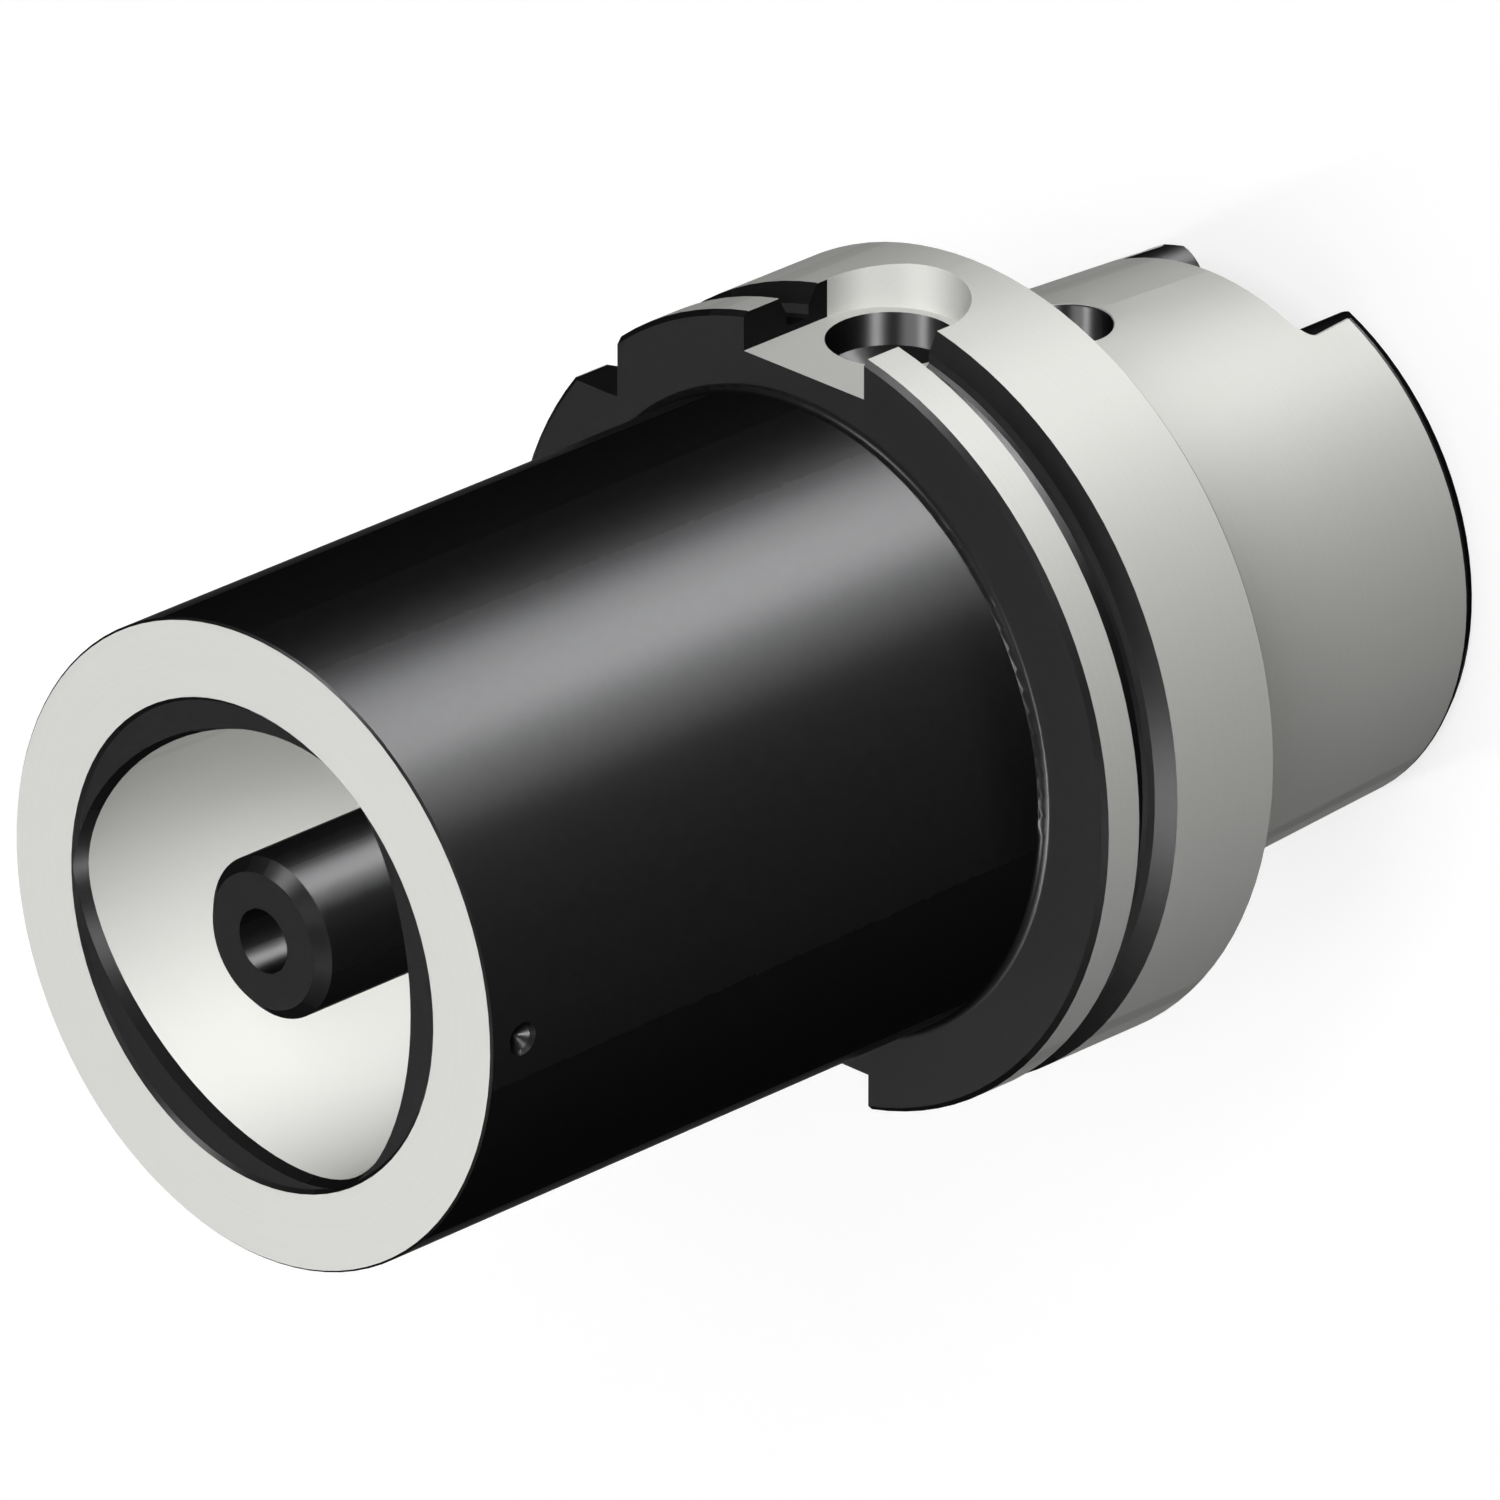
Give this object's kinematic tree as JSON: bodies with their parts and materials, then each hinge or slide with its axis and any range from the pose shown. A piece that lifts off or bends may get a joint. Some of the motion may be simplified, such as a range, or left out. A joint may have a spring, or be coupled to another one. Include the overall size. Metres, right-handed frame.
{
  "type": "tool holder adapter",
  "caption": "Spindle adapter with a hollow taper shank, gripper flange and round extension; a centre bolt draws a tool into its three-lobed taper socket.",
  "frame": {"origin": "on the spindle axis, at the centre of the flange's rear contact face", "axes": "+Z along the spindle axis towards the tool, +X through the keyway with the balance pocket"},
  "size_m": [0.1, 0.1, 0.17],
  "materials": {
    "black_oxide_steel": "hardened steel with a black oxide finish, ground bright on the taper, the flange's lands, the front ring and the socket",
    "bolt_steel": "black oxide, fine turned",
    "ring_steel": "black oxide, turned",
    "seal_rubber": "smooth black rubber"
  },
  "bodies": {
    "holder": {"holder_body": "black_oxide_steel", "lock_ring": "ring_steel"},
    "bolt": {"centre_bolt": "bolt_steel", "bolt_seal": "seal_rubber"}
  },
  "joints": [
    {"name": "bolt_turn", "type": "hinge", "parent": "holder", "child": "bolt", "pos_m": [0, 0, 0.03], "axis": [0, 0, 1], "continuous": true}
  ]
}
